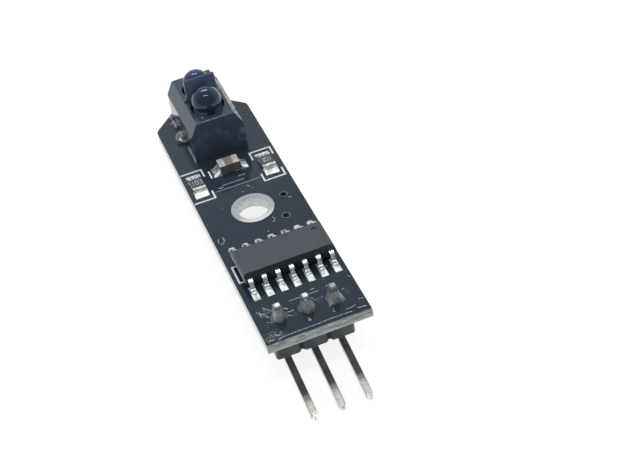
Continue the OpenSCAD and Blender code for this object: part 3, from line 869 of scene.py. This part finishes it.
def make_traces(mask):
    """Copper tracks that stand a little out of the mask."""
    y = middle("resistor_left_body").y
    lines = {
        "trace_upper": [[(-1.32, y - 1.0), (0.69, y - 1.0)]],
        "trace_lower": [[(-2.42, y - 1.62), (2.07, y - 1.62)]],
        "trace_header": [[(-1.28, -13.1), (1.48, -13.1)]],
    }
    for name, line in lines.items():
        ribbon(name, line, TRACE_WIDTH, TRACE_THICK, mask)


# Threads and drops of dried flux, seen from above
FLUX_LINES = (
    ((-3.62, -12.76), (-3.4, -13.05), (-3.2, -13.25), (-2.99, -13.47)),
    ((-4.29, -13.04), (-3.86, -13.57), (-3.58, -13.95)),
    ((-4.06, -13.15), (-4.04, -13.88)),
    ((-3.77, -13.71), (-3.48, -14.17)),
    ((-3.55, -14.73), (-3.4, -14.9)),
    ((-1.96, -13.66), (-1.68, -13.96)),
    ((-1.83, -14.29), (-1.56, -14.31), (-1.24, -14.28)),
    ((-1.92, -14.63), (-1.66, -14.84)),
    ((0.85, -12.65), (1.29, -12.62)),
    ((0.62, -13.61), (0.75, -13.81)),
    ((0.81, -13.93), (0.85, -14.08)),
    ((-0.49, -15.77), (-0.45, -16.0), (-0.59, -16.13)),
    ((-0.34, -15.94), (-0.37, -16.19)),
    ((2.21, -12.96), (2.41, -12.84)),
    ((3.34, -13.95), (3.55, -13.83)),
    ((1.42, -13.9), (1.59, -13.93)),
    ((1.66, -15.98), (1.86, -16.11)),
    ((1.85, -15.68), (1.84, -15.83)),
    ((1.74, -15.06), (1.67, -15.34)),
    ((2.72, -16.35), (3.33, -16.3), (3.71, -16.17)),
    ((3.72, -16.61), (4.53, -16.72)),
    ((4.43, -12.52), (4.61, -12.8)),
    ((4.2, -15.65), (4.62, -15.72)),
    ((3.11, -10.48), (3.4, -10.58)),
    ((1.19, -2.08), (1.36, -2.39), (1.08, -2.78), (1.0, -2.63)),
    ((-0.13, 2.66), (0.01, 2.67)),
    ((0.6, 3.36), (0.79, 3.09)),
    ((0.94, 2.83), (0.99, 2.69)),
    ((-2.66, 1.35), (-2.5, 1.42)),
    ((3.49, -0.17), (3.75, -0.28)),
    ((0.19, -3.69), (0.24, -3.83)),
    ((-4.16, -2.48), (-4.35, -2.77), (-4.34, -3.16)),
    ((-3.82, -2.51), (-3.8, -2.97), (-3.99, -3.32), (-4.28, -3.38)),
    ((-4.5, -16.9), (-4.2, -16.75), (-3.9, -16.86)),
    ((-2.02, 4.28), (-1.75, 4.16), (-1.5, 4.22)),
    ((-1.6, 4.4), (-1.35, 4.5), (-1.1, 4.42)),
    ((0.3, 5.05), (0.62, 5.08), (0.98, 5.04)),
)
# A pale line along the near edge, partly a painted highlight of the edge and partly chipped mask
EDGE_LINE = ((-3.7, -16.95), (-3.08, -16.82), (-1.22, -16.8), (-0.11, -16.8), (1.19, -16.73),
             (2.52, -16.75), (3.15, -16.78))
FLUX_WIDTH = 0.07
EDGE_WIDTH = 0.06
FLUX_THICK = 0.02


def make_flux(flux):
    """The threads and drops, and a pale line along the near edge: painted highlight and chipped
    mask.
    """
    ribbon("flux_threads", FLUX_LINES, FLUX_WIDTH, FLUX_THICK, flux)
    ribbon("edge_highlight_and_chip_line", [EDGE_LINE], EDGE_WIDTH, FLUX_THICK, flux)


# Plain digits of a resistor, each in a box of 1 by 2
DIGITS = {
    "1": (((0.5, 2), (0.5, 0)),),
    "0": (((0, 0), (0, 2), (1, 2), (1, 0), (0, 0)),),
    "3": (((0, 2), (1, 2), (1, 1), (1, 0), (0, 0)), ((0.2, 1), (1, 1))),
}
DIGIT_WIDTH = 0.24
DIGIT_HALF_HEIGHT = 0.3
DIGIT_PITCH = 0.36
STROKE_WIDTH = 0.07
STROKE_THICK = 0.015


def make_digits(name, body, word, ink):
    """A number across the top of a resistor, read from the near end."""
    centre = middle(body)
    lines = []
    for n, sign in enumerate(word):
        left = centre.x + (n - 1) * DIGIT_PITCH - DIGIT_WIDTH / 2
        for stroke in DIGITS[sign]:
            lines.append([(left + x * DIGIT_WIDTH, centre.y + (y - 1) * DIGIT_HALF_HEIGHT)
                          for x, y in stroke])
    ribbon(name, lines, STROKE_WIDTH, STROKE_THICK, ink, box_mm(body)[1].z)


# Solder in place of CAD nodes

# Solder on each header pin: the height it climbs to, how convex it is (1 is straight, less is
# rounder), and how far its foot reaches in eight directions, from +X towards +Y
HEADER_SOLDER = (
    (2.20, 0.90, (0.60, 0.58, 0.60, 0.54, 0.52, 0.66, 0.82, 0.70)),
    (2.06, 0.70, (0.80, 0.70, 0.64, 0.58, 0.54, 0.74, 0.88, 0.88)),
    (1.98, 0.85, (0.72, 0.64, 0.62, 0.58, 0.58, 0.94, 0.84, 1.06)),
)
BELL_AROUND = 72
BELL_LEVELS = 30
# Half sizes of the square inside a bell, against the pin, and of the one at its neck
PIN_HALF = 0.325
NECK_HALF = 0.36
HOLE_RADIUS = 0.499
MEAN_REACH = 0.68
# A foot that reaches farther than this lies on the board, and else on the pad
PAD_REACH = 0.75
# Between solder and what it lies on, and from a bell's neck up to the pin
GAP = 0.002
LIP_RISE = 0.03


def foot_reach(reaches, angle):
    """Reach of the foot at an angle, eased between the eight given ones."""
    eighths = angle / (math.tau / 8)
    first = int(eighths) % 8
    share = eighths - int(eighths)
    share = share * share * (3 - 2 * share)
    return (1 - share) * reaches[first] + share * reaches[(first + 1) % 8]


def square_radius(half, angle, sharp):
    """Radius at an angle of a square with rounded corners."""
    return half / (abs(math.cos(angle)) ** sharp + abs(math.sin(angle)) ** sharp) ** (1 / sharp)


def pin_shape(angle, height):
    """The sharp square against a pin."""
    return square_radius(PIN_HALF, angle, 60), height


def bell_shape(angle, n, level):
    """The lumpy flank of a pin's solder, from its foot, level 0, to its neck, level 1."""
    top, power, reaches = HEADER_SOLDER[n]
    foot = foot_reach(reaches, angle)
    foot_height = (PAD_TOP if foot < PAD_REACH else BOARD_TOP) + GAP
    neck = square_radius(NECK_HALF, angle, 9)
    ease = (1 - level) ** (power * (foot / MEAN_REACH) ** 2)
    lumps = 1 + 0.035 * math.sin(3 * angle + 2 * n + 3 * level) * math.sin(math.pi * level)
    return (neck + (foot - neck) * ease) * lumps, foot_height + (top - foot_height) * level


def make_header_solder(material):
    """Solder that fills the header's holes and climbs the pins in uneven bells."""
    for n, (top, _, _) in enumerate(HEADER_SOLDER):
        shapes = [(pin_shape, PAD_BOTTOM), (round_shape, HOLE_RADIUS, PAD_BOTTOM),
                  (round_shape, HOLE_RADIUS, PAD_TOP + GAP)]
        shapes += [(bell_shape, n, level / BELL_LEVELS) for level in range(BELL_LEVELS + 1)]
        shapes.append((pin_shape, top + LIP_RISE))
        mesh = bmesh.new()
        centre = middle("header_joint_%d" % (n + 1))
        rings = [ring(mesh, centre, BELL_AROUND, *shape) for shape in shapes]
        join_rings(mesh, rings + rings[:1])
        piece = finish_piece("header_solder_%d" % (n + 1), mesh, material, smooth=True)
        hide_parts("header_joint_%d" % (n + 1))


# Reach of the thin spill in the same eight directions, its middle on the board, and its height
SPILL = (0.11, 0.15, 1.05, 0.25, 0.17, 0.23, 1.25, 0.15)
SPILL_AT = (-2.77, 16.45)
SPILL_HEIGHT = 0.26
SPILL_GAP = 0.001
SPILL_AROUND = 96
SPILL_LEVELS = 12
# Solder in the hole under the spill, as radius and height, and its middle
PLUG = ((0.35, -0.2), (0.5, -0.001), (0.349, -0.001), (0.349, 1.0))
PLUG_AT = (-2.77, 16.15)


def spill_shape(angle, rise):
    """The rippled flank of the spill, from its foot, rise 0, to its peak, a quarter turn."""
    ripple = 1 + 0.08 * math.sin(7 * angle) * math.sin(2 * rise)
    radius = foot_reach(SPILL, angle) * math.cos(rise) * ripple
    return radius, BOARD_TOP + SPILL_GAP + SPILL_HEIGHT * math.sin(rise)


def make_side_spill(material):
    """A thin spill along the foot of the sensor's wall, with the solder in the hole under it."""
    mesh = bmesh.new()
    rings = [ring(mesh, SPILL_AT, SPILL_AROUND, spill_shape, math.pi / 2 * level / SPILL_LEVELS)
             for level in range(SPILL_LEVELS)]
    peak = mesh.verts.new((SPILL_AT[0] * MM, SPILL_AT[1] * MM, (BOARD_TOP + SPILL_HEIGHT) * MM))
    join_rings(mesh, rings)
    for n in range(SPILL_AROUND):
        mesh.faces.new((rings[-1][n], rings[-1][(n + 1) % SPILL_AROUND], peak))
    mesh.faces.new(rings[0][::-1])
    plug = [ring(mesh, PLUG_AT, SPILL_AROUND, round_shape, *size) for size in PLUG]
    join_rings(mesh, plug)
    mesh.faces.new(plug[0][::-1])
    mesh.faces.new(plug[-1])
    piece = finish_piece("side_solder_far", mesh, material, smooth=True)
    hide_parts("side_joint_far")


# Stage, lamps and camera, in metres

def aimed(thing, stand, at, roll=0.0):
    """Puts a lamp or camera at a stand, looking at a point, rolled about its line of sight."""
    turn = (Vector(at) - Vector(stand)).to_track_quat("-Z", "Y").to_matrix().to_4x4()
    thing.matrix_world = Matrix.Translation(stand) @ turn @ Matrix.Rotation(roll, 4, "Z")


CAMERA_AT = Vector((-21.3, -100.2, 88.34)) * MM
CAMERA_ELEVATION = math.radians(41.85)
CAMERA_AZIMUTH = math.radians(15.25)
CAMERA_ROLL = math.radians(-9.02)
PHOTO_WIDTH = 640
FOCAL_PIXELS = 1449.1
# The camera's own sensor, in mm
SENSOR_WIDTH = 36.0


def make_camera():
    """The camera of the photo, fitted to points on the board."""
    camera = bpy.data.cameras.new("camera")
    camera.sensor_width = SENSOR_WIDTH
    camera.lens = FOCAL_PIXELS * SENSOR_WIDTH / PHOTO_WIDTH
    camera.clip_start = 0.005
    camera.clip_end = 10.0
    thing = put_in_scene("camera", camera)
    flat = math.cos(CAMERA_ELEVATION)
    ahead = Vector((math.sin(CAMERA_AZIMUTH) * flat, math.cos(CAMERA_AZIMUTH) * flat,
                    -math.sin(CAMERA_ELEVATION)))
    aimed(thing, CAMERA_AT, CAMERA_AT + ahead, CAMERA_ROLL)
    bpy.context.scene.camera = thing


SKY_WAY = (0.0, 0.95, 0.31)
SKY_TONE = (0.94, 0.98, 1.0, 1.0)
WHITE = (1.0, 1.0, 1.0, 1.0)


def make_world():
    """A white studio that is brightest low behind the sensor and dimmest on the camera's side."""
    world = bpy.data.worlds.new("studio")
    world.use_nodes = True
    tree = world.node_tree
    background = tree.nodes["Background"]
    way = add(tree, "TexCoord").outputs["Generated"]
    towards = add(tree, "VectorMath", {0: way, 1: SKY_WAY}, operation="DOT_PRODUCT")
    facing = towards.outputs["Value"]
    wide = span(tree, facing, -0.1, 0.55, 0.38, 0.68)
    sky = plus(tree, wide, span(tree, facing, 0.7, 0.97, 0.0, 0.32))
    seen = add(tree, "LightPath").outputs["Is Camera Ray"]
    feed(tree, background.inputs["Color"], mix(tree, seen, SKY_TONE, WHITE))
    feed(tree, background.inputs["Strength"], most(tree, sky, seen))
    bpy.context.scene.world = world


def side_points(node):
    """The Y and Z of the corners of a node."""
    thing = frame["nodes"][node]
    corners = [thing.matrix_world @ vertex.co for vertex in thing.data.vertices]
    return [(corner.y, corner.z) for corner in corners]


def resting_line():
    """Where a floor touches the pin tips, as Y and Z, and its slope up to the far leads."""
    def slope(near, far):
        return (far[1] - near[1]) / (far[0] - near[0])
    pins = side_points("header_pin_2")
    leads = side_points("emitter_lead_left")
    lead = min(leads, key=lambda far: max(slope(near, far) for near in pins))
    pin = max(pins, key=lambda near: slope(near, lead))
    return pin, slope(pin, lead)


def seen_share(tree):
    """1 for what the camera sees, straight, mirrored or through glass, and 0 for other light."""
    path = add(tree, "LightPath")
    share = most(tree, path.outputs["Is Camera Ray"], path.outputs["Is Glossy Ray"])
    return most(tree, share, path.outputs["Is Transmission Ray"])


FLOOR_SIZE = 1.5
FLOOR_GLOW = 0.84


def floor_material():
    """Pale paper. What is seen of it, mirrored too, is nearly white but for the shadow on it."""
    material, tree, shader = new_material("pale_floor")
    tree.nodes.remove(shader)
    cloud = noise(tree, place(tree), 0.02, 2.0)
    paper = mix(tree, cloud, tone(240, 241, 242), tone(248, 248, 248))
    plain = add(tree, "BsdfDiffuse", {"Color": paper})
    lit = add(tree, "BsdfDiffuse", {"Color": tone(140, 140, 140)})
    glow = add(tree, "Emission", {"Color": WHITE, "Strength": FLOOR_GLOW})
    pale = add(tree, "AddShader", {0: lit.outputs[0], 1: glow.outputs[0]})
    both = add(tree, "MixShader", {0: seen_share(tree), 1: plain.outputs[0], 2: pale.outputs[0]})
    feed(tree, tree.nodes["Material Output"].inputs["Surface"], both.outputs[0])
    material.cycles.emission_sampling = "NONE"
    return material


def make_floor():
    """A floor on which the sensor lies with its pin tips and its far leads."""
    mesh = bmesh.new()
    bmesh.ops.create_grid(mesh, x_segments=8, y_segments=8, size=FLOOR_SIZE)
    floor = mesh_object("floor", mesh, floor_material())
    (tip_y, tip_z), slope = resting_line()
    turn = Matrix.Rotation(math.atan(slope), 4, "X")
    floor.matrix_world = Matrix.Translation((0, tip_y, tip_z)) @ turn


# Way from the sensor, size and power of each lamp
LAMPS = {
    "lamp_far": ((0.063, 0.488, 0.870), (0.26, 0.05), 0.58),
    "lamp_near": ((-0.05, -0.29, 0.96), (0.26, 0.04), 0.4),
}
LAMP_DISTANCE = 0.4


def make_lamps():
    """Two strip lamps overhead."""
    aim = (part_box("board")[0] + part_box("board")[1]) / 2
    for name, (way, size, watts) in LAMPS.items():
        lamp = bpy.data.lights.new(name, "AREA")
        lamp.shape = "RECTANGLE"
        lamp.size, lamp.size_y = size
        lamp.energy = watts
        aimed(put_in_scene(name, lamp), aim + Vector(way) * LAMP_DISTANCE, aim)


def main():
    materials = make_materials()
    paint_frame(materials)
    make_ink(materials["ink"])
    make_traces(materials["trace"])
    make_flux(materials["flux"])
    make_header_solder(materials["dull_solder"])
    make_side_spill(materials["solder"])
    make_digits("digits_resistor_left", "resistor_left_body", "103", materials["digits"])
    make_digits("digits_resistor_right", "resistor_right_body", "301", materials["digits"])
    make_world()
    make_floor()
    make_lamps()
    make_camera()
    bpy.context.scene.view_settings.view_transform = "Standard"


main()
